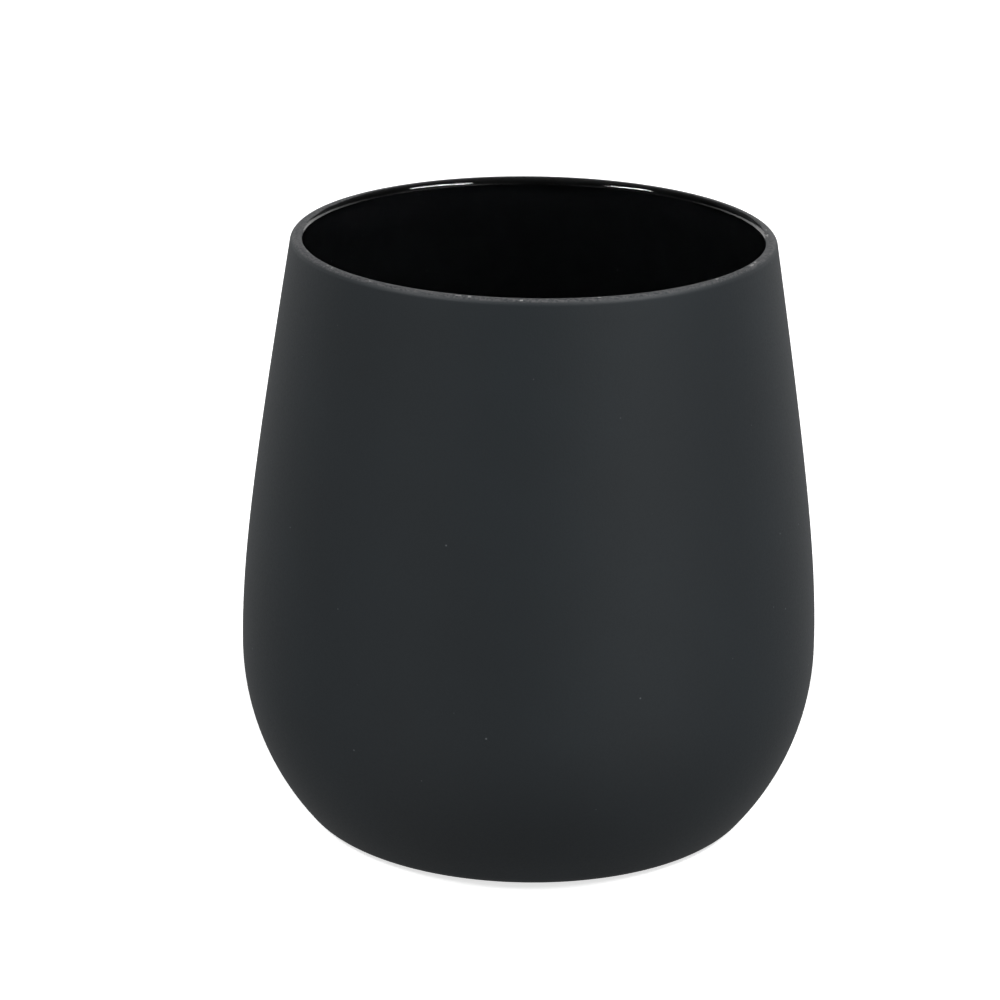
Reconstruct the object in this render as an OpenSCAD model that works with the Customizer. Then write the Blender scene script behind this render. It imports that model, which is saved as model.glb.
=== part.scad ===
// Empty candle jar: a stemless tumbler of clear glass with a matte black coat.
// Z is up. The origin is the middle of the ring that the jar stands on.
// Every outline is a list of [radius, height, direction], where direction is the
// angle of the surface's outward normal, so that the coat can follow the glass.

/* [Outside, over the coat] */
// Height from the table to the top of the lip
jar_h = 89; // [72:0.5:130]
// Widest diameter, round the belly
belly_d = 86; // [73:0.5:112]
// Height of the widest part above the table
belly_h = 26.5; // [22:0.5:40]
// Outside diameter of the lip
lip_d = 71.2; // [50:0.1:85]
// Diameter at which the heel's curve meets the flat foot
foot_d = 61; // [50:0.5:74]
// Radius of the heel, between the bowl and the foot
heel_r = 4.5; // [2:0.1:6]
// How far up the wall the belly's curve reaches: small is a tight bend, large is one long bow
belly_softness = 0.35; // [0.15:0.01:1.5]

/* [Glass] */
// Thickness of the glass at the lip
lip_t = 1.9; // [1.4:0.1:3.5]
// Thickness of the glass at the belly
belly_t = 2.5; // [1.6:0.1:5]
// Thickness of the glass at the middle of the base
base_t = 6; // [3:0.1:8]
// Diameter of the flat part of the inner floor
floor_d = 44; // [20:0.5:60]

/* [Foot] */
// Width of the bare ring that the jar stands on
ring_w = 2.5; // [1:0.1:5]
// Depth of the recess inside the ring
recess_h = 1.6; // [0.8:0.1:3]
// Width of the slope from the ring into the recess
recess_slope_w = 5; // [3:0.1:8]

/* [Coat] */
// Thickness of the coat
coat_t = 0.12; // [0.06:0.01:0.3]
// Where the coat ends on the lip, in degrees from straight out, where 90 is the top of the lip
coat_lip_angle = 116; // [95:1:150]
// Height of the coat's lower edge on the heel
coat_edge_h = 0.35; // [0.3:0.05:3]

/* [Hidden] */
$fn = 180;
coat_color = "#2d3134";
glass_color = "#101214";
wall_steps = 24;
bowl_steps = 14;
inner_bowl_steps = 18;
heel_steps = 8;
half_lip_steps = 8;
recess_steps = 6;

glass_belly_r = belly_d / 2 - coat_t;
foot_r = foot_d / 2;
lip_r = lip_t / 2;
lip_mid_r = lip_d / 2 - coat_t - lip_r;
lip_mid_h = jar_h - coat_t - lip_r;
inner_belly_r = glass_belly_r - belly_t;
floor_r = floor_d / 2;
floor_h = recess_h + base_t;
ring_inner_r = foot_r - ring_w;

// An arc round [mid_r, mid_h], from one angle to another. side is 1 where the glass is
// inside the arc and -1 where the glass is outside it.
function arc(mid_r, mid_h, r, from, to, steps, side = 1) =
    [for (i = [0 : steps])
        let (a = from + (to - from) * i / steps)
        [mid_r + r * cos(a), mid_h + r * sin(a), side > 0 ? a : a + 180]];

// The outside below the belly is two arcs, the heel and the bowl. The bowl's radius is
// the one that is upright at the belly and runs smoothly into the heel.
bowl_r =
    (pow(glass_belly_r - foot_r, 2) + pow(belly_h - heel_r, 2) - pow(heel_r, 2))
        / (2 * (glass_belly_r - foot_r - heel_r));
bowl_mid_r = glass_belly_r - bowl_r;
bowl_start = -atan2(belly_h - heel_r, foot_r - bowl_mid_r);

// The inside below the belly is a quarter of an ellipse, flat at the floor and upright at the belly
function inner_bowl_point(a) =
    let (across = inner_belly_r - floor_r)
    let (up = belly_h - floor_h)
    [floor_r + across * cos(a), belly_h + up * sin(a), atan2(sin(a) / up, cos(a) / across) + 180];

// The wall above the belly is a hyperbola: upright at the belly, almost straight at the top.
wall_reach = sqrt(1 + pow(belly_softness, 2));
function wall_ease(t) =
    (sqrt(t * t + pow(belly_softness, 2)) - belly_softness) / (wall_reach - belly_softness);
function wall_slope(t) =
    t / sqrt(t * t + pow(belly_softness, 2)) / (wall_reach - belly_softness);

// The wall's lean at its top, where it runs into the lip
function lean(belly_r, top_r, top_h) =
    atan((belly_r - top_r) / (top_h - belly_h) * wall_slope(1));

function wall(belly_r, top_r, top_h, side) =
    let (inward = belly_r - top_r)
    let (up = top_h - belly_h)
    [for (i = [0 : wall_steps])
        let (t = i / wall_steps)
        let (a = atan(inward / up * wall_slope(t)))
        [belly_r - inward * wall_ease(t), belly_h + up * t, side > 0 ? a : a + 180]];

// Lists of points: all but the first, the other way round, the part above a height that
// the list rises through, and the same points moved out along their normals
function tail(points) = [for (i = [1 : len(points) - 1]) points[i]];
function backwards(points) = [for (i = [len(points) - 1 : -1 : 0]) points[i]];
function above(points, h) =
    let (i = [for (i = [1 : len(points) - 1]) if (points[i - 1][1] <= h && points[i][1] > h) i][0])
    let (low = points[i - 1])
    let (high = points[i])
    let (edge = low + (high - low) * (h - low[1]) / (high[1] - low[1]))
    concat([edge], [for (j = [i : len(points) - 1]) points[j]]);
function moved_out(points, t) =
    [for (p = points) [p[0] + t * cos(p[2]), p[1] + t * sin(p[2])]];

// The lip is a half round that both faces of the wall run into
outer_lean = lean(glass_belly_r, lip_mid_r + lip_r, lip_mid_h);
inner_lean = lean(inner_belly_r, lip_mid_r - lip_r, lip_mid_h);

// The outer face, from the flat foot to the coat's edge on the lip
heel = arc(foot_r, heel_r, heel_r, -90, bowl_start, heel_steps);
outer_bowl = arc(bowl_mid_r, belly_h, bowl_r, bowl_start, 0, bowl_steps);
outer_wall = wall(
    glass_belly_r,
    lip_mid_r + lip_r * cos(outer_lean),
    lip_mid_h + lip_r * sin(outer_lean),
    1);
coated_lip = arc(lip_mid_r, lip_mid_h, lip_r, outer_lean, coat_lip_angle, half_lip_steps);
outer_face = concat(heel, tail(outer_bowl), tail(outer_wall), tail(coated_lip));

// The inner face, from the coat's edge on the lip to the flat floor
bare_lip = arc(lip_mid_r, lip_mid_h, lip_r, coat_lip_angle, 180 + inner_lean, half_lip_steps);
inner_wall = wall(
    inner_belly_r,
    lip_mid_r - lip_r * cos(inner_lean),
    lip_mid_h - lip_r * sin(inner_lean),
    -1);
inner_bowl = [for (i = [0 : inner_bowl_steps]) inner_bowl_point(-90 * i / inner_bowl_steps)];

// The recess under the foot: the ring's round edge, then a hollow curve up to the recess's flat
turn_r = (pow(recess_slope_w / 2, 2) + pow(recess_h / 2, 2)) / recess_h;
turn_angle = asin(recess_slope_w / 2 / turn_r);
ring_edge = arc(ring_inner_r, turn_r, turn_r, -90 - turn_angle, -90, recess_steps);
recess_edge = arc(
    ring_inner_r - recess_slope_w, recess_h - turn_r, turn_r, 90, 90 - turn_angle, recess_steps, -1);
coated_recess = concat([[0, recess_h, 270]], recess_edge);

// A closed film of the coat's thickness over a stretch of the glass's face
module film(face) {
    rotate_extrude()
        polygon(concat(moved_out(face, 0), backwards(moved_out(face, coat_t))));
}

// The clear glass body: lip, wall, bowl, thick base, flat inner floor and hollow foot
module glass_jar() {
    color(glass_color)
        rotate_extrude()
            polygon(moved_out(
                concat(
                    coated_recess,
                    tail(ring_edge),
                    outer_face,
                    tail(bare_lip),
                    tail(backwards(inner_wall)),
                    tail(inner_bowl),
                    [[0, floor_h, 90]]),
                0));
}

// The matte black coat, from just above the foot to just inside the lip
module side_coat() {
    color(coat_color)
        film(above(outer_face, coat_edge_h));
}

// The same coat in the recess, cut off from the rest by the bare ring
module base_coat() {
    color(coat_color)
        film(coated_recess);
}

glass_jar();
side_coat();
base_coat();
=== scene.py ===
import math

import bpy
import numpy as np
from mathutils import Matrix, Vector, noise


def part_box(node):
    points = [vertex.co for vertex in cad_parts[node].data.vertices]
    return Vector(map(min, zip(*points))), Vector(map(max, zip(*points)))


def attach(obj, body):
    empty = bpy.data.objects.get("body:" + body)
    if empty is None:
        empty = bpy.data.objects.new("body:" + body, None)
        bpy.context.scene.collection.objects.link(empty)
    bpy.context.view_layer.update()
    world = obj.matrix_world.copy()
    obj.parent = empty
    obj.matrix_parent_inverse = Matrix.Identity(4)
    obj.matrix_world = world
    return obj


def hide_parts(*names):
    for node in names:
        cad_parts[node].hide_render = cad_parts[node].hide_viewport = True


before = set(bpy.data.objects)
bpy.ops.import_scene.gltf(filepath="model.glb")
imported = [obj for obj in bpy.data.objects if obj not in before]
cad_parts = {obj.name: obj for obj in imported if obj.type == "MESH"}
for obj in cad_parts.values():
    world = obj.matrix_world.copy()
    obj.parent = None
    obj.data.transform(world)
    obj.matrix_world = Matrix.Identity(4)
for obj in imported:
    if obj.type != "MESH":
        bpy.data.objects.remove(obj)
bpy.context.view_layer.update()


# ---- Glass body -------------------------------------------------------------------------
# The jar itself: one piece of clear soda-lime glass, blown in a mould with a heavy base
# and fire-polished at the lip. It stands on a narrow ring round a shallow recess.

MM = 0.001

glass_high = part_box("glass_jar")[1]
BELLY_R = glass_high.x
BELLY_H = 26.5 * MM
LIP_R = 0.95 * MM
LIP_MID_R = 34.53 * MM
LIP_MID_H = glass_high.z - LIP_R
BELLY_T = 2.5 * MM
BELLY_SOFTNESS = 0.35
FOOT_R = 30.5 * MM
HEEL_R = 4.5 * MM
RING_W = 2.5 * MM
RECESS_H = 1.6 * MM
RECESS_SLOPE_W = 5.0 * MM
BASE_T = 6.0 * MM
FLOOR_R = 22.0 * MM
FLOOR_H = RECESS_H + BASE_T

# How finely each stretch of the section is drawn, and how finely it is spun round
FLAT_STEPS = 12
SLOPE_STEPS = 10
HEEL_STEPS = 14
BOWL_STEPS = 28
WALL_STEPS = 32
CROWN_STEPS = 12
INNER_LIP_STEPS = 32
INNER_BOWL_STEPS = 30
GLASS_TURNS = 288


def arc(mid_r, mid_h, r, start, end, steps, side=1):
    """Rows of radius, height and outward direction round an arc, side -1 where the arc is hollow."""
    angles = np.radians(np.linspace(start, end, steps + 1))
    facing = 0 if side > 0 else math.pi
    return np.column_stack([mid_r + r * np.cos(angles), mid_h + r * np.sin(angles), angles + facing])


def wall(belly_r, top_r, top_h, side):
    """The wall above the belly: upright at the belly, almost straight where it meets the lip."""
    t = np.linspace(0, 1, WALL_STEPS + 1)
    bend = np.sqrt(t * t + BELLY_SOFTNESS**2)
    reach = math.sqrt(1 + BELLY_SOFTNESS**2) - BELLY_SOFTNESS
    inward = belly_r - top_r
    up = top_h - BELLY_H
    lean = np.arctan(inward / up * t / bend / reach)
    facing = 0 if side > 0 else math.pi
    return np.column_stack(
        [belly_r - inward * (bend - BELLY_SOFTNESS) / reach, BELLY_H + up * t, lean + facing]
    )


def top_lean(belly_r, top_r):
    """How far the wall leans at its top, in degrees."""
    reach = math.sqrt(1 + BELLY_SOFTNESS**2)
    slope = 1 / reach / (reach - BELLY_SOFTNESS)
    return math.degrees(math.atan((belly_r - top_r) / (LIP_MID_H - BELLY_H) * slope))


bowl_rise = (BELLY_R - FOOT_R) ** 2 + (BELLY_H - HEEL_R) ** 2 - HEEL_R**2
BOWL_R = bowl_rise / (2 * (BELLY_R - FOOT_R - HEEL_R))
BOWL_MID_R = BELLY_R - BOWL_R
BOWL_START = -math.degrees(math.atan2(BELLY_H - HEEL_R, FOOT_R - BOWL_MID_R))

outer_lean = top_lean(BELLY_R, LIP_MID_R + LIP_R)
inner_lean = top_lean(BELLY_R - BELLY_T, LIP_MID_R - LIP_R)
outer_top = math.radians(outer_lean)
inner_top = math.radians(inner_lean)
outer_face = np.vstack(
    [
        arc(FOOT_R, HEEL_R, HEEL_R, -90, BOWL_START, HEEL_STEPS),
        arc(BOWL_MID_R, BELLY_H, BOWL_R, BOWL_START, 0, BOWL_STEPS)[1:],
        wall(
            BELLY_R,
            LIP_MID_R + LIP_R * math.cos(outer_top),
            LIP_MID_H + LIP_R * math.sin(outer_top),
            1,
        )[1:],
        arc(LIP_MID_R, LIP_MID_H, LIP_R, outer_lean, 90, CROWN_STEPS)[1:],
    ]
)
inner_wall = wall(
    BELLY_R - BELLY_T,
    LIP_MID_R - LIP_R * math.cos(inner_top),
    LIP_MID_H - LIP_R * math.sin(inner_top),
    -1,
)

# The inside of the bowl is a quarter of an ellipse. Only its places are used.
bowl_angles = np.radians(np.linspace(0, -90, INNER_BOWL_STEPS + 1))
inner_bowl = np.column_stack(
    [
        FLOOR_R + (BELLY_R - BELLY_T - FLOOR_R) * np.cos(bowl_angles),
        BELLY_H + (BELLY_H - FLOOR_H) * np.sin(bowl_angles),
        bowl_angles * 0,
    ]
)


def flat(from_r, to_r, h, direction):
    """Rows across a level face, whose outward direction is up or down."""
    across = np.linspace(from_r, to_r, FLAT_STEPS)
    return np.column_stack([across, np.full(FLAT_STEPS, h), np.full(FLAT_STEPS, direction)])


# The slope up into the recess is two equal arcs, hollow above and round below
slope_r = ((RECESS_SLOPE_W / 2) ** 2 + (RECESS_H / 2) ** 2) / RECESS_H
slope_angle = math.degrees(math.asin(RECESS_SLOPE_W / 2 / slope_r))
ring_inner_r = FOOT_R - RING_W
recess_r = ring_inner_r - RECESS_SLOPE_W
up_to_lip = np.vstack(
    [
        flat(0, recess_r, RECESS_H, -math.pi / 2),
        arc(recess_r, RECESS_H - slope_r, slope_r, 90, 90 - slope_angle, SLOPE_STEPS, -1)[1:],
        arc(ring_inner_r, slope_r, slope_r, -90 - slope_angle, -90, SLOPE_STEPS)[1:],
        np.array([[FOOT_R - RING_W / 2, 0, -math.pi / 2]]),
        outer_face,
    ]
)
inner_lip = arc(LIP_MID_R, LIP_MID_H, LIP_R, 90, 180 + inner_lean, INNER_LIP_STEPS)[1:]
glass_outline = np.vstack(
    [
        up_to_lip,
        inner_lip,
        inner_wall[::-1][1:],
        inner_bowl[1:],
        flat(FLOOR_R, 0, FLOOR_H, math.pi / 2)[1:],
    ]
)


def spin_angles(turns):
    """The angles round the jar, from +X, at which an outline is set down."""
    return np.arange(turns) * 2 * math.pi / turns


# Fire-polishing left the lip's inner shoulder up to 0.07 mm flatter at the front and the
# back. The angles are round the lip's section, in degrees.
SHOULDER_ANGLE = 142
SHOULDER_REACH = 38
SHOULDER_DEPTH = 0.07 * LIP_R
glass_spin = spin_angles(GLASS_TURNS)
glass_r = np.outer(glass_outline[:, 0], np.ones(GLASS_TURNS))
glass_h = np.outer(glass_outline[:, 1], np.ones(GLASS_TURNS))
for k, direction in enumerate(inner_lip[:, 2], len(up_to_lip)):
    off = min(abs(math.degrees(direction) - SHOULDER_ANGLE) / SHOULDER_REACH, 1)
    dip = SHOULDER_DEPTH * (1 + math.cos(math.pi * off)) / 2 * np.sin(glass_spin) ** 4
    glass_r[k] -= dip * math.cos(direction)
    glass_h[k] -= dip * math.sin(direction)

# A ring narrower than this is drawn as one point, at the middle of a face
POLE_R = 1e-7


def skin(name, radius, height, closed):
    """A mesh from rings of points, one row for each ring, and the row that each face is in."""
    rings, turns = radius.shape
    spin = spin_angles(turns)
    points = np.stack([radius * np.cos(spin), radius * np.sin(spin), height], axis=2)
    poles = [radius[k].max() < POLE_R for k in range(rings)]
    first = []
    vertices = []
    for k in range(rings):
        first.append(len(vertices))
        vertices += [tuple(p) for p in points[k, : 1 if poles[k] else turns]]
    faces = []
    row_of = []
    for k in range(rings if closed else rings - 1):
        n = (k + 1) % rings
        for j in range(turns):
            i = (j + 1) % turns
            low = [first[k]] if poles[k] else [first[k] + j, first[k] + i]
            high = [first[n]] if poles[n] else [first[n] + i, first[n] + j]
            if len(low) + len(high) > 2:
                faces.append(low + high)
                row_of.append(k)
    mesh = bpy.data.meshes.new(name)
    mesh.from_pydata(vertices, [], faces)
    mesh.shade_smooth()
    piece = bpy.data.objects.new(name, mesh)
    bpy.context.scene.collection.objects.link(piece)
    return piece, np.array(row_of)


def linear(code):
    """An sRGB hex colour as linear RGBA."""
    parts = [int(code[i : i + 2], 16) / 255 for i in (1, 3, 5)]
    return [c / 12.92 if c <= 0.04045 else ((c + 0.055) / 1.055) ** 2.4 for c in parts] + [1]


def add(tree, kind, settings, links=()):
    """Adds a node, sets its properties and sockets by name or number, and links its sockets."""
    made = tree.nodes.new(kind)
    for key, value in settings.items():
        if isinstance(key, str) and hasattr(made, key):
            setattr(made, key, value)
        else:
            made.inputs[key].default_value = value
    for key, source in dict(links).items():
        tree.links.new(source, made.inputs[key])
    return made


def new_material(name):
    """An empty material, its node tree and a position source."""
    made = bpy.data.materials.new(name)
    made.use_nodes = True
    tree = made.node_tree
    tree.nodes.clear()
    place = add(tree, "ShaderNodeTexCoord", {}).outputs["Object"]
    return made, tree, place


# Clear soda-lime glass, fire-polished: smooth, with the slow waves that a mould leaves and
# the faint film that handling leaves on it.
fire_polished_glass, tree, place = new_material("fire_polished_glass")
mould_waves = add(
    tree,
    "ShaderNodeTexNoise",
    {"Scale": 1 / (11 * MM), "Detail": 1.0, "Roughness": 0.4},
    {"Vector": place},
)
wavy = add(
    tree,
    "ShaderNodeBump",
    {"Strength": 0.25, "Distance": 0.02 * MM},
    {"Height": mould_waves.outputs["Fac"]},
)
handling_film = add(
    tree,
    "ShaderNodeTexNoise",
    {"Scale": 1 / (7 * MM), "Detail": 4.0, "Roughness": 0.6},
    {"Vector": place},
)
film_gloss = add(
    tree,
    "ShaderNodeMapRange",
    {"From Min": 0.35, "From Max": 0.75, "To Min": 0.0, "To Max": 0.03},
    {"Value": handling_film.outputs["Fac"]},
)
glass_shader = add(
    tree,
    "ShaderNodeBsdfPrincipled",
    {"Base Color": linear("#f4f8f6"), "IOR": 1.52, "Transmission Weight": 1.0},
    {"Roughness": film_gloss.outputs["Result"], "Normal": wavy.outputs["Normal"]},
)
add(tree, "ShaderNodeOutputMaterial", {}, {"Surface": glass_shader.outputs["BSDF"]})

glass_body, _ = skin("glass_body", glass_r, glass_h, False)
glass_body.data.materials.append(fire_polished_glass)
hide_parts("glass_jar")
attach(glass_body, "root")


# ---- Side coat --------------------------------------------------------------------------
# Matte black spray enamel over the whole outside, baked on. It runs from just above the
# foot, over the wall and the crown of the lip, and stops at an uneven line inside the lip.

COAT_T = 0.12 * MM
COAT_EDGE_H = 0.35 * MM
COAT_TURNS = 480
coat_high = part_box("side_coat")[1]

# The coat keys into the glass by this much, so that the two faces are not one
BOND = 0.01 * MM

# The lip's rings of coat start here, in degrees round its section, below its lowest edge.
# The wall's rings stop this many degrees short of them, and start above the foot's edge.
LIP_START = 60
LIP_STEPS = 18
LIP_CLEARANCE = 2
FOOT_CLEARANCE = 1.7 * COAT_EDGE_H

# The coat's thickness runs out towards its two edges, as shares of the whole
FOOT_FEATHER = [0.35, 0.8, 1.0]
LIP_FEATHER = [0.92, 0.7, 0.3]

# How far the edges wander: the lip's in degrees, slowly and raggedly, the foot's as a share
LIP_DRIFT = 3
LIP_RAGGEDNESS = 5
FOOT_DRIFT = 0.5

# Where the coat stops on the lip: degrees round from +X, then degrees round the lip's
# section, where 90 is the crown. It is 113 on average.
LIP_EDGE = [
    (0, 142), (4, 126), (8, 120), (15, 110), (23, 104), (40, 99), (65, 94), (90, 91),
    (120, 94), (138, 101), (145, 111), (150, 119), (156, 117), (162, 127), (172, 132),
    (180, 142), (190, 130), (205, 120), (235, 118), (270, 117), (305, 118), (335, 120), (350, 129),
]


def wander(angles, count, seed):
    """A smooth value from -1 to 1 that wanders round the jar and meets itself."""
    ring = [(count * math.cos(a), count * math.sin(a), seed) for a in angles]
    return np.array([noise.noise(Vector(p)) for p in ring])


coat_spin = spin_angles(COAT_TURNS)
edge_round, edge_angle = np.array(LIP_EDGE).T
lip_edge = np.interp(np.degrees(coat_spin), edge_round, edge_angle, period=360)
lip_edge += LIP_DRIFT * wander(coat_spin, 9, 7.7) + LIP_RAGGEDNESS * wander(coat_spin, 34, 1.3)
foot_edge = COAT_EDGE_H * (1 + FOOT_DRIFT * np.abs(wander(coat_spin, 12, 5.2)))
foot_angle = np.degrees(np.arcsin(foot_edge / HEEL_R - 1))
covered = outer_face[outer_face[:, 1] > FOOT_CLEARANCE]
covered = covered[np.degrees(covered[:, 2]) < LIP_START - LIP_CLEARANCE]
full_rings = len(covered) + LIP_STEPS + 1 - len(LIP_FEATHER)
feather = np.concatenate([FOOT_FEATHER, np.ones(full_rings), LIP_FEATHER])

# Knocks on the lip: where the middle is, in degrees round from +X, then its half width in
# degrees and its middle's angle round the lip's section
KNOCKS = [
    (212.6, 0.5, 84), (214.4, 0.6, 78), (252.4, 0.5, 74), (254.9, 0.6, 72), (267.0, 0.3, 60),
    (318.0, 0.5, 86), (333.4, 0.9, 82), (336.2, 0.6, 90), (2.0, 0.8, 112), (7.0, 0.4, 96),
    (96.0, 0.7, 66), (141.0, 0.6, 84), (61.0, 0.7, 80), (285.0, 0.4, 88), (198.0, 0.5, 104),
    (23.0, 0.5, 72), (118.0, 0.5, 58), (176.0, 0.6, 60), (229.0, 0.4, 70), (301.0, 0.3, 66),
]

# A knock that is one degree to each side spans this many degrees of the lip's section.
# It dents the enamel by the first share of its thickness; past the second share it gets the pale
# finish, a painted glint of bare glass.
KNOCK_SPAN = 14
KNOCK_DEPTH = 0.8
PAINTED_GLINT_DEPTH = 0.25


def coat_rings(distance, taper):
    """Rings of the coated face, a distance out from the glass, with both uneven edges."""
    rings = []
    first_angle = math.degrees(covered[0, 2])
    foot_steps = len(FOOT_FEATHER)
    for step in range(foot_steps):
        angle = np.radians(foot_angle + (first_angle - foot_angle) * step / foot_steps)
        rings.append((FOOT_R, HEEL_R, HEEL_R, angle))
    for row in covered:
        rings.append((row[0], row[1], 0, np.full(COAT_TURNS, row[2])))
    for step in range(LIP_STEPS + 1):
        angle = np.radians(LIP_START + (lip_edge - LIP_START) * step / LIP_STEPS)
        rings.append((LIP_MID_R, LIP_MID_H, LIP_R, angle))
    out = [distance * share for share in taper]
    radius = [r + (size + t) * np.cos(angle) for (r, h, size, angle), t in zip(rings, out)]
    height = [h + (size + t) * np.sin(angle) for (r, h, size, angle), t in zip(rings, out)]
    return np.array(radius), np.array(height)


face_r, face_h = coat_rings(COAT_T, feather)
bond_r, bond_h = coat_rings(-BOND, np.ones(len(feather)))

knocked = np.zeros(face_r.shape, bool)
on_lip = np.degrees(np.arctan2(face_h - LIP_MID_H, face_r - LIP_MID_R))
for middle, half_width, lip_angle in KNOCKS:
    round_the_jar = (np.degrees(coat_spin) - middle + 180) % 360 - 180
    half_span = KNOCK_SPAN * half_width**0.5
    away = np.hypot(round_the_jar[None, :] / half_width, (on_lip - lip_angle) / half_span)
    dent = np.clip(1 - away**2, 0, 1) * KNOCK_DEPTH * COAT_T * (face_h > LIP_MID_H)
    face_r -= dent * np.cos(np.radians(on_lip))
    face_h -= dent * np.sin(np.radians(on_lip))
    knocked |= dent > PAINTED_GLINT_DEPTH * COAT_T

# The outer rings and then the bonded ones, kept inside the coat's own box
coat_r = np.minimum(np.vstack([face_r, bond_r[::-1]]), coat_high.x)
coat_h = np.minimum(np.vstack([face_h, bond_h[::-1]]), coat_high.z)
side_film, coat_row = skin("side_film", coat_r, coat_h, True)
coat_finish = (coat_row >= len(face_r)).astype(np.int32)
# Deeply knocked faces take the third finish, whose pale colour is a painted glint
coat_finish[: knocked.size][knocked.ravel()] = 2

# Spray enamel, matte black, baked: a fine dry grain and a soft broad shine. Between two
# heights the lip's crown carries a painted highlight: its colour is mixed towards pale grey,
# mottled by the grain. Dust that settled in the wet enamel shows as a few pale specks.
CROWN_HIGHLIGHT_FROM = 88.58 * MM
CROWN_HIGHLIGHT_TO = 88.86 * MM
matte_enamel, tree, place = new_material("matte_black_enamel")
grain = add(
    tree,
    "ShaderNodeTexNoise",
    {"Scale": 1 / (0.35 * MM), "Detail": 3.0, "Roughness": 0.65},
    {"Vector": place},
)
orange_peel = add(
    tree,
    "ShaderNodeTexNoise",
    {"Scale": 1 / (1.6 * MM), "Detail": 2.0, "Roughness": 0.5},
    {"Vector": place},
)
peel_bump = add(
    tree,
    "ShaderNodeBump",
    {"Strength": 0.3, "Distance": 0.02 * MM},
    {"Height": orange_peel.outputs["Fac"]},
)
grain_bump = add(
    tree,
    "ShaderNodeBump",
    {"Strength": 0.8, "Distance": 0.018 * MM},
    {"Height": grain.outputs["Fac"], "Normal": peel_bump.outputs["Normal"]},
)
passes = add(
    tree,
    "ShaderNodeTexNoise",
    {"Scale": 1 / (18 * MM), "Detail": 3.0, "Roughness": 0.55},
    {"Vector": place},
)
wall_colour = add(
    tree,
    "ShaderNodeMix",
    {"data_type": "RGBA", "A": linear("#161c20"), "B": linear("#1c2429")},
    {"Factor": passes.outputs["Fac"]},
)
dust = add(
    tree,
    "ShaderNodeTexVoronoi",
    {"Scale": 1 / (5 * MM)},
    {"Vector": place},
)
speck = add(
    tree,
    "ShaderNodeMapRange",
    {"From Min": 0.02, "From Max": 0.036, "To Min": 0.5, "To Max": 0.0},
    {"Value": dust.outputs["Distance"]},
)
dusty_colour = add(
    tree,
    "ShaderNodeMix",
    {"data_type": "RGBA", "B": linear("#7b7f82")},
    {"Factor": speck.outputs["Result"], "A": wall_colour.outputs["Result"]},
)
height = add(tree, "ShaderNodeSeparateXYZ", {}, {"Vector": place})
# Painted highlight: the lip's crown is lighter grey between these two heights
crown_highlight_mask = add(
    tree,
    "ShaderNodeMapRange",
    {"From Min": CROWN_HIGHLIGHT_FROM, "From Max": CROWN_HIGHLIGHT_TO, "To Min": 0.0, "To Max": 1.0},
    {"Value": height.outputs["Z"]},
)
mottle = add(
    tree,
    "ShaderNodeMapRange",
    {"From Min": 0.38, "From Max": 0.62, "To Min": 0.1, "To Max": 1.1},
    {"Value": grain.outputs["Fac"]},
)
painted_crown_highlight = add(
    tree,
    "ShaderNodeMath",
    {"operation": "MULTIPLY", "use_clamp": True},
    {0: crown_highlight_mask.outputs["Result"], 1: mottle.outputs["Result"]},
)
coat_colour_with_highlight = add(
    tree,
    "ShaderNodeMix",
    {"data_type": "RGBA", "B": linear("#606061")},
    {"Factor": painted_crown_highlight.outputs["Value"], "A": dusty_colour.outputs["Result"]},
)
coat_gloss = add(
    tree,
    "ShaderNodeMapRange",
    {"From Min": 0.3, "From Max": 0.7, "To Min": 0.52, "To Max": 0.6},
    {"Value": grain.outputs["Fac"]},
)
coat_shader = add(
    tree,
    "ShaderNodeBsdfPrincipled",
    {"IOR": 1.5},
    {
        "Base Color": coat_colour_with_highlight.outputs["Result"],
        "Roughness": coat_gloss.outputs["Result"],
        "Normal": grain_bump.outputs["Normal"],
    },
)
add(tree, "ShaderNodeOutputMaterial", {}, {"Surface": coat_shader.outputs["BSDF"]})

# The same enamel from behind, wetted by the glass: no shine of its own, nearly black, with
# a few pale pinholes where a speck kept the enamel off the glass.
bonded_enamel, tree, place = new_material("enamel_bonded_to_glass")
mottle = add(
    tree,
    "ShaderNodeTexNoise",
    {"Scale": 1 / (4 * MM), "Detail": 3.0, "Roughness": 0.6},
    {"Vector": place},
)
bonded_colour = add(
    tree,
    "ShaderNodeMix",
    {"data_type": "RGBA", "A": linear("#1d1e20"), "B": linear("#28292b")},
    {"Factor": mottle.outputs["Fac"]},
)
pinholes = add(
    tree,
    "ShaderNodeTexVoronoi",
    {"Scale": 1 / (5 * MM)},
    {"Vector": place},
)
pinhole = add(
    tree,
    "ShaderNodeMapRange",
    {"From Min": 0.018, "From Max": 0.034, "To Min": 0.5, "To Max": 0.0},
    {"Value": pinholes.outputs["Distance"]},
)
pinholed_colour = add(
    tree,
    "ShaderNodeMix",
    {"data_type": "RGBA", "B": linear("#6c6e70")},
    {"Factor": pinhole.outputs["Result"], "A": bonded_colour.outputs["Result"]},
)
bonded_shader = add(
    tree,
    "ShaderNodeBsdfPrincipled",
    {"Roughness": 0.9, "Specular IOR Level": 0.0},
    {"Base Color": pinholed_colour.outputs["Result"]},
)
add(tree, "ShaderNodeOutputMaterial", {}, {"Surface": bonded_shader.outputs["BSDF"]})
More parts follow.
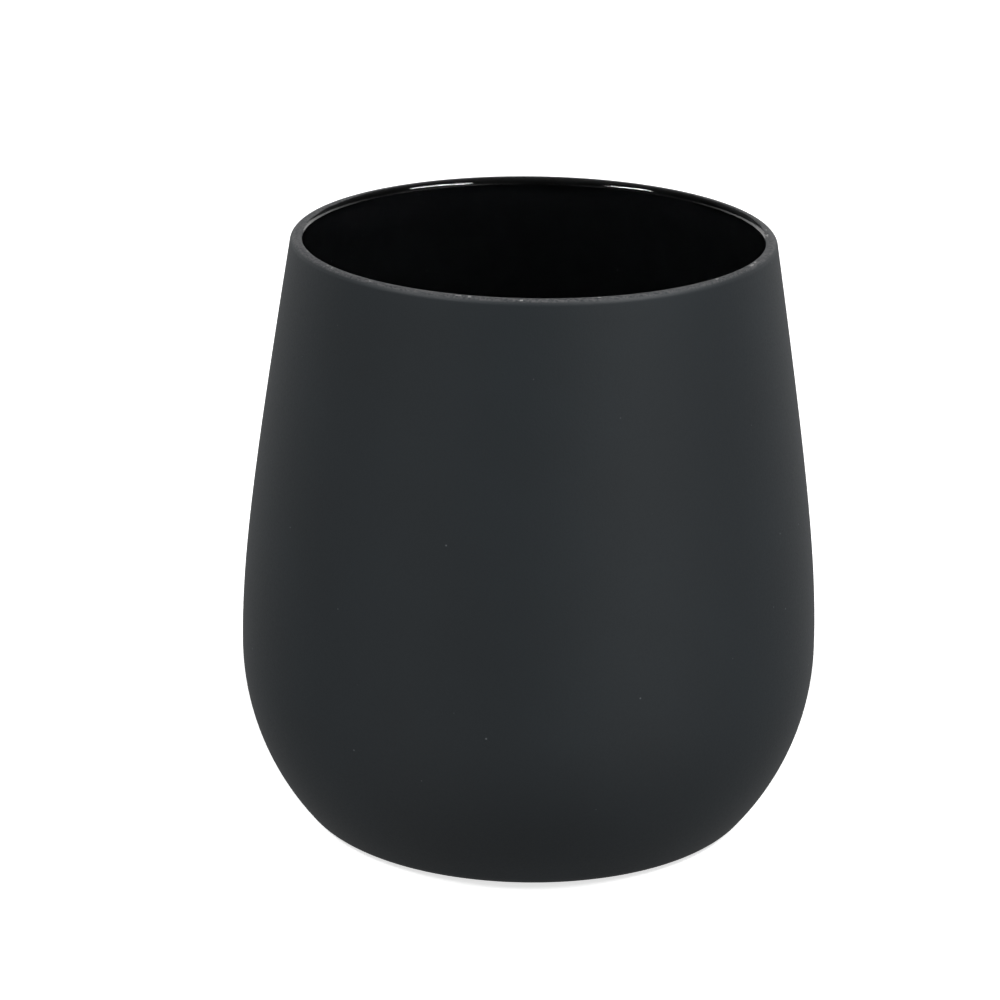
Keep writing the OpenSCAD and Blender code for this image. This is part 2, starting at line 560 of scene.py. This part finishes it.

# Enamel that a knock has chipped: its pale colour is a painted glint of the bare glass under it, and
# it is shinier than the rest.
knock_glint_enamel, tree, place = new_material("knock_glint_enamel")
chip_grain = add(
    tree,
    "ShaderNodeTexNoise",
    {"Scale": 1 / (0.25 * MM), "Detail": 2.0, "Roughness": 0.6},
    {"Vector": place},
)
painted_glint_colour = add(
    tree,
    "ShaderNodeMix",
    {"data_type": "RGBA", "A": linear("#3c3c3d"), "B": linear("#c4c4c2")},
    {"Factor": chip_grain.outputs["Fac"]},
)
chip_bump = add(
    tree,
    "ShaderNodeBump",
    {"Strength": 0.8, "Distance": 0.03 * MM},
    {"Height": chip_grain.outputs["Fac"]},
)
knock_glint_shader = add(
    tree,
    "ShaderNodeBsdfPrincipled",
    {"Roughness": 0.35, "IOR": 1.5},
    {"Base Color": painted_glint_colour.outputs["Result"], "Normal": chip_bump.outputs["Normal"]},
)
add(tree, "ShaderNodeOutputMaterial", {}, {"Surface": knock_glint_shader.outputs["BSDF"]})

for finish_material in (matte_enamel, bonded_enamel, knock_glint_enamel):
    side_film.data.materials.append(finish_material)
side_film.data.polygons.foreach_set("material_index", coat_finish)
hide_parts("side_coat")
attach(side_film, "root")


# ---- Base coat --------------------------------------------------------------------------
# The same enamel in the recess under the foot. The ring that the jar stands on was masked
# or wiped bare, so this patch is cut off from the side coat.

PATCH_TURNS = 360

# How far short of the ring the patch stops, slowly and raggedly, as shares of the slope,
# and how much of the coat's thickness is left at that edge
PATCH_DRIFT = 0.06
PATCH_RAGGEDNESS = 0.04
PATCH_FEATHER = 0.4
patch_spin = spin_angles(PATCH_TURNS)
patch_reach = 1 - PATCH_DRIFT * np.abs(wander(patch_spin, 5, 9.4))
patch_reach -= PATCH_RAGGEDNESS * np.abs(wander(patch_spin, 21, 2.6))


def patch_rings(distance, edge_share):
    """Rings of the recess's flat and slope, a distance down from the glass."""
    flat_r = np.linspace(0, recess_r, FLAT_STEPS)
    radius = [np.full(PATCH_TURNS, r) for r in flat_r]
    height = [np.full(PATCH_TURNS, RECESS_H - distance) for r in flat_r]
    for step in range(1, SLOPE_STEPS + 1):
        angle = np.radians(90 - slope_angle * patch_reach * step / SLOPE_STEPS)
        deep = distance * (edge_share if step == SLOPE_STEPS else 1)
        radius.append(recess_r + (slope_r - deep) * np.cos(angle))
        height.append(RECESS_H - slope_r + (slope_r - deep) * np.sin(angle))
    return np.array(radius), np.array(height)


bond_r, bond_h = patch_rings(-BOND, 1)
face_r, face_h = patch_rings(COAT_T, PATCH_FEATHER)
base_patch, patch_row = skin(
    "base_patch", np.vstack([face_r, bond_r[::-1]]), np.vstack([face_h, bond_h[::-1]]), False
)
for finish_material in (matte_enamel, bonded_enamel):
    base_patch.data.materials.append(finish_material)
behind = patch_row >= len(face_r)
base_patch.data.polygons.foreach_set("material_index", behind.astype(np.int32))
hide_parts("base_coat")
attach(base_patch, "root")


# ---- Studio -----------------------------------------------------------------------------
# A pale table, two soft boxes in front and above, a white sweep behind, and soft pools of
# light beside the camera. Only the camera sees the table, so that it throws no light back.

# A hair below the foot's ring, so that the two faces are not one
TABLE_TOP = -0.02 * MM
TABLE_REACH = 4
TABLE_CORNERS = [(-1, -1), (1, -1), (1, 1), (-1, 1)]
corners = [(x * TABLE_REACH, y * TABLE_REACH, TABLE_TOP) for x, y in TABLE_CORNERS]
floor_mesh = bpy.data.meshes.new("table")
floor_mesh.from_pydata(corners, [], [(0, 1, 2, 3)])
floor = bpy.data.objects.new("table", floor_mesh)
bpy.context.scene.collection.objects.link(floor)
floor.visible_diffuse = False
floor.visible_glossy = False
floor.visible_transmission = False
floor.visible_shadow = False
# Pale matte card: even and dull, with a glow of its own that keeps it nearly white
table_card, tree, _ = new_material("pale_table_card")
card_shader = add(
    tree,
    "ShaderNodeBsdfPrincipled",
    {
        "Base Color": linear("#f4f4f4"),
        "Roughness": 0.9,
        "Specular IOR Level": 0.0,
        "Emission Color": (1, 1, 1, 1),
        "Emission Strength": 0.7,
    },
)
add(tree, "ShaderNodeOutputMaterial", {}, {"Surface": card_shader.outputs["BSDF"]})
floor_mesh.materials.append(table_card)

# The boxes face this place, half way up the jar
BOX_AIM = Vector((0, 0, 0.05))
BOX_DISTANCE = 2.0
BOX_HEIGHT = 0.36


def soft_box(name, direction, width, radiance):
    """A soft box that faces the jar."""
    data = bpy.data.lights.new(name, "AREA")
    data.shape = "RECTANGLE"
    data.size = width
    data.size_y = BOX_HEIGHT
    data.energy = radiance * math.pi * width * BOX_HEIGHT
    lamp = bpy.data.objects.new(name, data)
    away = Vector(direction).normalized()
    lamp.location = away * BOX_DISTANCE + BOX_AIM
    lamp.rotation_euler = away.to_track_quat("Z", "Y").to_euler()
    bpy.context.scene.collection.objects.link(lamp)


soft_box("soft_box_right", direction=(0.57, -0.32, 0.76), width=0.96, radiance=25)
soft_box("soft_box_left", direction=(-0.60, -0.32, 0.73), width=0.68, radiance=26)

world = bpy.data.worlds.new("studio")
bpy.context.scene.world = world
world.use_nodes = True
tree = world.node_tree
tree.nodes.clear()
around = add(tree, "ShaderNodeTexCoord", {}).outputs["Generated"]
axes = add(tree, "ShaderNodeSeparateXYZ", {}, {"Vector": around})


def ramp(axis, start, end, first, last):
    """A value that runs from first to last between two heights or depths of the studio."""
    settings = {"From Min": start, "From Max": end, "To Min": first, "To Max": last}
    return add(tree, "ShaderNodeMapRange", settings, {"Value": axes.outputs[axis]}).outputs["Result"]


def combine(operation, one, other):
    """Two values put together by one sum."""
    return add(tree, "ShaderNodeMath", {"operation": operation}, {0: one, 1: other}).outputs["Value"]


# The sweep: brighter to the back, ending a little above the jar, brighter to the sides, and
# cut off below the table. Under that the studio is dim.
light = combine("MULTIPLY", ramp("Y", -0.1, 0.6, 0.1, 1.1), ramp("Z", 0.26, 0.32, 1.0, 0.0))
to_the_sides = combine("MAXIMUM", ramp("X", 0.15, 0.5, 0.5, 1.0), ramp("X", -0.15, -0.5, 0.5, 1.0))
light = combine("MULTIPLY", light, to_the_sides)
light = combine("MULTIPLY", light, ramp("Z", -0.05, 0.0, 0.0, 1.0))
light = combine("ADD", light, ramp("Z", 0.1, -0.15, 0.0, 0.21))

# Pools of light: degrees round to the right of the camera, degrees up, and strength
POOL_TIGHTNESS = 9
POOLS = [
    (45, 0, 0.78), (-45, 0, 0.17), (-45, -30, 0.37), (45, -30, 0.19),
    (150, -15, 0.23), (-150, -15, 0.17), (150, 15, 0.06), (180, 50, 0.20), (0, 90, 0.25),
]
for across, high, strength in POOLS:
    a = math.radians(across)
    e = math.radians(high)
    aim = (math.sin(a) * math.cos(e), -math.cos(a) * math.cos(e), math.sin(e))
    settings = {"operation": "DOT_PRODUCT", 1: aim}
    along = add(tree, "ShaderNodeVectorMath", settings, {0: around}).outputs["Value"]
    settings = {"operation": "MULTIPLY_ADD", 1: POOL_TIGHTNESS, 2: math.log(strength) - POOL_TIGHTNESS}
    fall = add(tree, "ShaderNodeMath", settings, {0: along}).outputs["Value"]
    pool = add(tree, "ShaderNodeMath", {"operation": "EXPONENT"}, {0: fall}).outputs["Value"]
    light = combine("ADD", light, pool)
seen = add(tree, "ShaderNodeLightPath", {})

# Little light comes back up through the bare ring, because the jar stands on it
through_glass = add(
    tree,
    "ShaderNodeMapRange",
    {"To Min": 1.0, "To Max": 0.25},
    {"Value": seen.outputs["Is Transmission Ray"]},
)
light = combine("MULTIPLY", light, through_glass.outputs["Result"])
studio_light = add(tree, "ShaderNodeBackground", {"Color": (1, 1, 1, 1)}, {"Strength": light})
backdrop = add(tree, "ShaderNodeBackground", {"Color": (1, 1, 1, 1), "Strength": 1.0})
both = add(
    tree,
    "ShaderNodeMixShader",
    {},
    {
        "Fac": seen.outputs["Is Camera Ray"],
        1: studio_light.outputs["Background"],
        2: backdrop.outputs["Background"],
    },
)
add(tree, "ShaderNodeOutputWorld", {}, {"Surface": both.outputs["Shader"]})
bpy.context.scene.view_settings.view_transform = "Standard"

# The camera looks a little to the left of the jar's middle and above it. Its focal length
# and those two offsets are in frame widths.
CAMERA_TILT = math.radians(19.0)
CAMERA_DISTANCE = 0.600
CAMERA_ROLL = math.radians(0.787)
SENSOR_WIDTH = 36
FOCAL_WIDTHS = 4.015
AIM_LEFT = 0.0299
AIM_UP = 0.0225
middle = Vector((0, 0, 44.5 * MM))
towards = Vector((0, math.cos(CAMERA_TILT), -math.sin(CAMERA_TILT)))
level_up = Vector((0, math.sin(CAMERA_TILT), math.cos(CAMERA_TILT)))
level_right = Vector((1, 0, 0))
right = level_right * math.cos(CAMERA_ROLL) + level_up * math.sin(CAMERA_ROLL)
up = level_up * math.cos(CAMERA_ROLL) - level_right * math.sin(CAMERA_ROLL)
look = (towards - right * (AIM_LEFT / FOCAL_WIDTHS) + up * (AIM_UP / FOCAL_WIDTHS)).normalized()
right = (right - look * right.dot(look)).normalized()
up = right.cross(look)
camera_data = bpy.data.cameras.new("camera")
camera_data.sensor_width = SENSOR_WIDTH
camera_data.lens = SENSOR_WIDTH * FOCAL_WIDTHS
place = middle - towards * CAMERA_DISTANCE
camera = bpy.data.objects.new("camera", camera_data)
camera.matrix_world = Matrix(
    [
        [right.x, up.x, -look.x, place.x],
        [right.y, up.y, -look.y, place.y],
        [right.z, up.z, -look.z, place.z],
        [0, 0, 0, 1],
    ]
)
bpy.context.scene.collection.objects.link(camera)
bpy.context.scene.camera = camera
